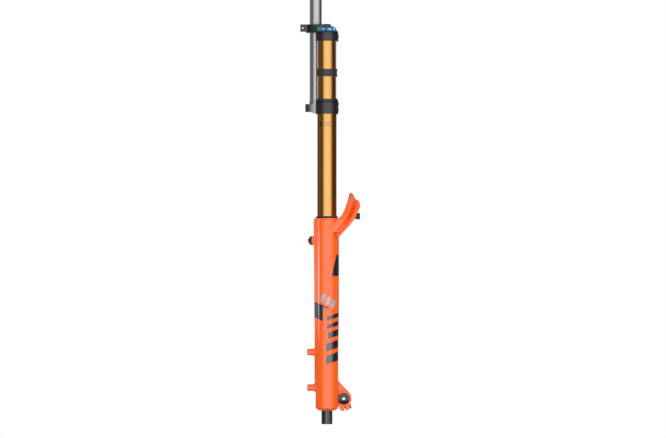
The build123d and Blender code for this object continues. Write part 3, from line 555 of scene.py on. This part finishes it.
SPRING_LOW, SPRING_HIGH = 61.2, 134.8  # the wire's middle in the end turns
SPRING_R, WIRE_R = 9.5, 1.0
SPRING_TURNS, DEAD_TURNS = 9, 0.8


def floating_piston_coil():
    """A compression spring whose end turns lie flat on their seats. The real one shortens as the piston
    rises; this mesh keeps one length.
    """
    steps, sides = 32, 10
    total = SPRING_TURNS * steps
    verts, faces = [], []
    for i in range(total + 1):
        along = i / steps
        climb = (along - DEAD_TURNS) / (SPRING_TURNS - 2 * DEAD_TURNS)
        middle = SPRING_LOW + (SPRING_HIGH - SPRING_LOW) * min(1.0, max(0.0, climb))
        turn = 2 * math.pi * along
        for k in range(sides):
            around = 2 * math.pi * k / sides
            r = SPRING_R + WIRE_R * math.cos(around)
            x, y = LEG_X / MM + r * math.cos(turn), -LEG_Y / MM + r * math.sin(turn)
            verts.append((x * MM, y * MM, (middle + WIRE_R * math.sin(around)) * MM))
    for i in range(total):
        faces += band(i * sides, (i + 1) * sides, sides)
    faces += [tuple(range(sides)), tuple(reversed(range(total * sides, (total + 1) * sides)))]
    mesh = bpy.data.meshes.new("piston_coil")
    mesh.from_pydata(verts, [], faces)
    mesh.shade_smooth()
    coil = show("piston_coil", mesh)
    dress(coil, SPRING)
    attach(coil, "chassis")
    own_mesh(coil)
    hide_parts("floating_piston_spring")


floating_piston_coil()

# ---- floor, light and camera ------------------------------------------------------------


FLOOR_SIZE, FLOOR_Z = 6.0, -0.7056


def floor():
    mesh = bpy.data.meshes.new("floor")
    size, z = FLOOR_SIZE, FLOOR_Z
    corners = [(-size, -size, z), (size, -size, z), (size, size, z), (-size, size, z)]
    mesh.from_pydata(corners, [], [(0, 1, 2, 3)])
    obj = show("floor", mesh)
    material = bpy.data.materials.new("floor_pale")
    material.use_nodes = True
    net = Net(material.node_tree)
    # Painted shadow: to the camera the floor glows white, darker where ambient occlusion finds the
    # object near; other rays see a plain diffuse floor.
    path = net.node("ShaderNodeLightPath")
    shade = net.node("ShaderNodeAmbientOcclusion", {"Distance": 0.35}, samples=16)
    level = net.ramp(shade.outputs["AO"], [(0.0, 0.72), (0.75, 0.97), (1.0, 1.0)])
    seen = net.node("ShaderNodeEmission", {"Color": level, "Strength": 1.0})
    lit = net.node("ShaderNodeBsdfDiffuse", {"Color": (0.8, 0.8, 0.8, 1.0)})
    blend = net.node("ShaderNodeMixShader", {"Fac": path.outputs["Is Camera Ray"]})
    net.put(lit.outputs[0], blend.inputs[1])
    net.put(seen.outputs[0], blend.inputs[2])
    out = net.node("ShaderNodeOutputMaterial")
    net.put(blend.outputs[0], out.inputs[0])
    obj.data.materials.append(material)
    obj.visible_glossy = False


floor()

# angle round the object from the camera, in degrees, and brightness seen by reflections
SOFTBOX_STOPS = [
    (-180, 0.25), (-150, 0.25), (-128, 0.24), (-105, 0.30), (-87, 0.34), (-71, 0.22), (-57, 0.27),
    (-45, 0.7), (-38, 1.5), (-28, 2.3), (0, 2.5), (30, 2.4), (45, 2.1), (55, 1.3), (65, 0.5), (75, 0.2),
    (89, 0.13), (108, 0.14), (133, 0.18), (150, 0.25), (180, 0.25),
]


SOFTBOX_PEAK = 2.5


def studio():
    """White surroundings. The soft box and its dark flags stay with the camera, as on a turntable."""
    world = bpy.data.worlds.new("studio")
    bpy.context.scene.world = world
    world.use_nodes = True
    net = Net(world.node_tree)
    path = net.node("ShaderNodeLightPath")
    xyz = net.node("ShaderNodeSeparateXYZ", {"Vector": net.node("ShaderNodeTexCoord").outputs["Camera"]})
    right, up, away = (xyz.outputs[i] for i in range(3))
    stops = [((a + 180) / 360, level / SOFTBOX_PEAK) for a, level in SOFTBOX_STOPS]
    ring = net.math("MULTIPLY", net.ramp(net.turn(right, away), stops), SOFTBOX_PEAK)
    above = net.node("ShaderNodeMapRange", {"Value": up, "From Min": 0.45, "From Max": 0.85})
    below = net.node("ShaderNodeMapRange", {"Value": up, "From Min": -0.82, "From Max": -0.97})
    glossy = net.mix(above.outputs[0], ring, (0.6, 0.6, 0.6))
    glossy = net.mix(below.outputs[0], glossy, (0.8, 0.8, 0.8))
    soft = net.math("MULTIPLY_ADD", away, -0.84, 0.72)
    soft = net.math("MULTIPLY_ADD", right, 0.20, soft)
    soft = net.math("MAXIMUM", net.math("MULTIPLY_ADD", up, 0.15, soft), 0.06)
    level = net.mix(path.outputs["Is Diffuse Ray"], glossy, soft)
    level = net.mix(path.outputs["Is Camera Ray"], level, (1.0, 1.0, 1.0))
    background = net.node("ShaderNodeBackground", {"Color": level, "Strength": 1.0})
    out = net.node("ShaderNodeOutputWorld")
    net.put(background.outputs[0], out.inputs[0])


studio()


VIEW_WIDTH = 1.3853
VIEW_MIDDLE = (0.0356, -LEG_Y / 2, -0.2392)


def camera():
    """Side on from the right of the bicycle, with a very long lens."""
    data = bpy.data.cameras.new("camera")
    data.type = "PERSP"
    data.sensor_width = 36.0
    data.lens = 900.0
    cam = show("camera", data)
    x, y, z = VIEW_MIDDLE
    cam.location = (x, y - VIEW_WIDTH * data.lens / data.sensor_width, z)
    cam.rotation_euler = (math.radians(90), 0, 0)
    data.clip_start, data.clip_end = 1.0, 60.0
    bpy.context.scene.camera = cam


camera()
bpy.context.scene.view_settings.view_transform = "Standard"
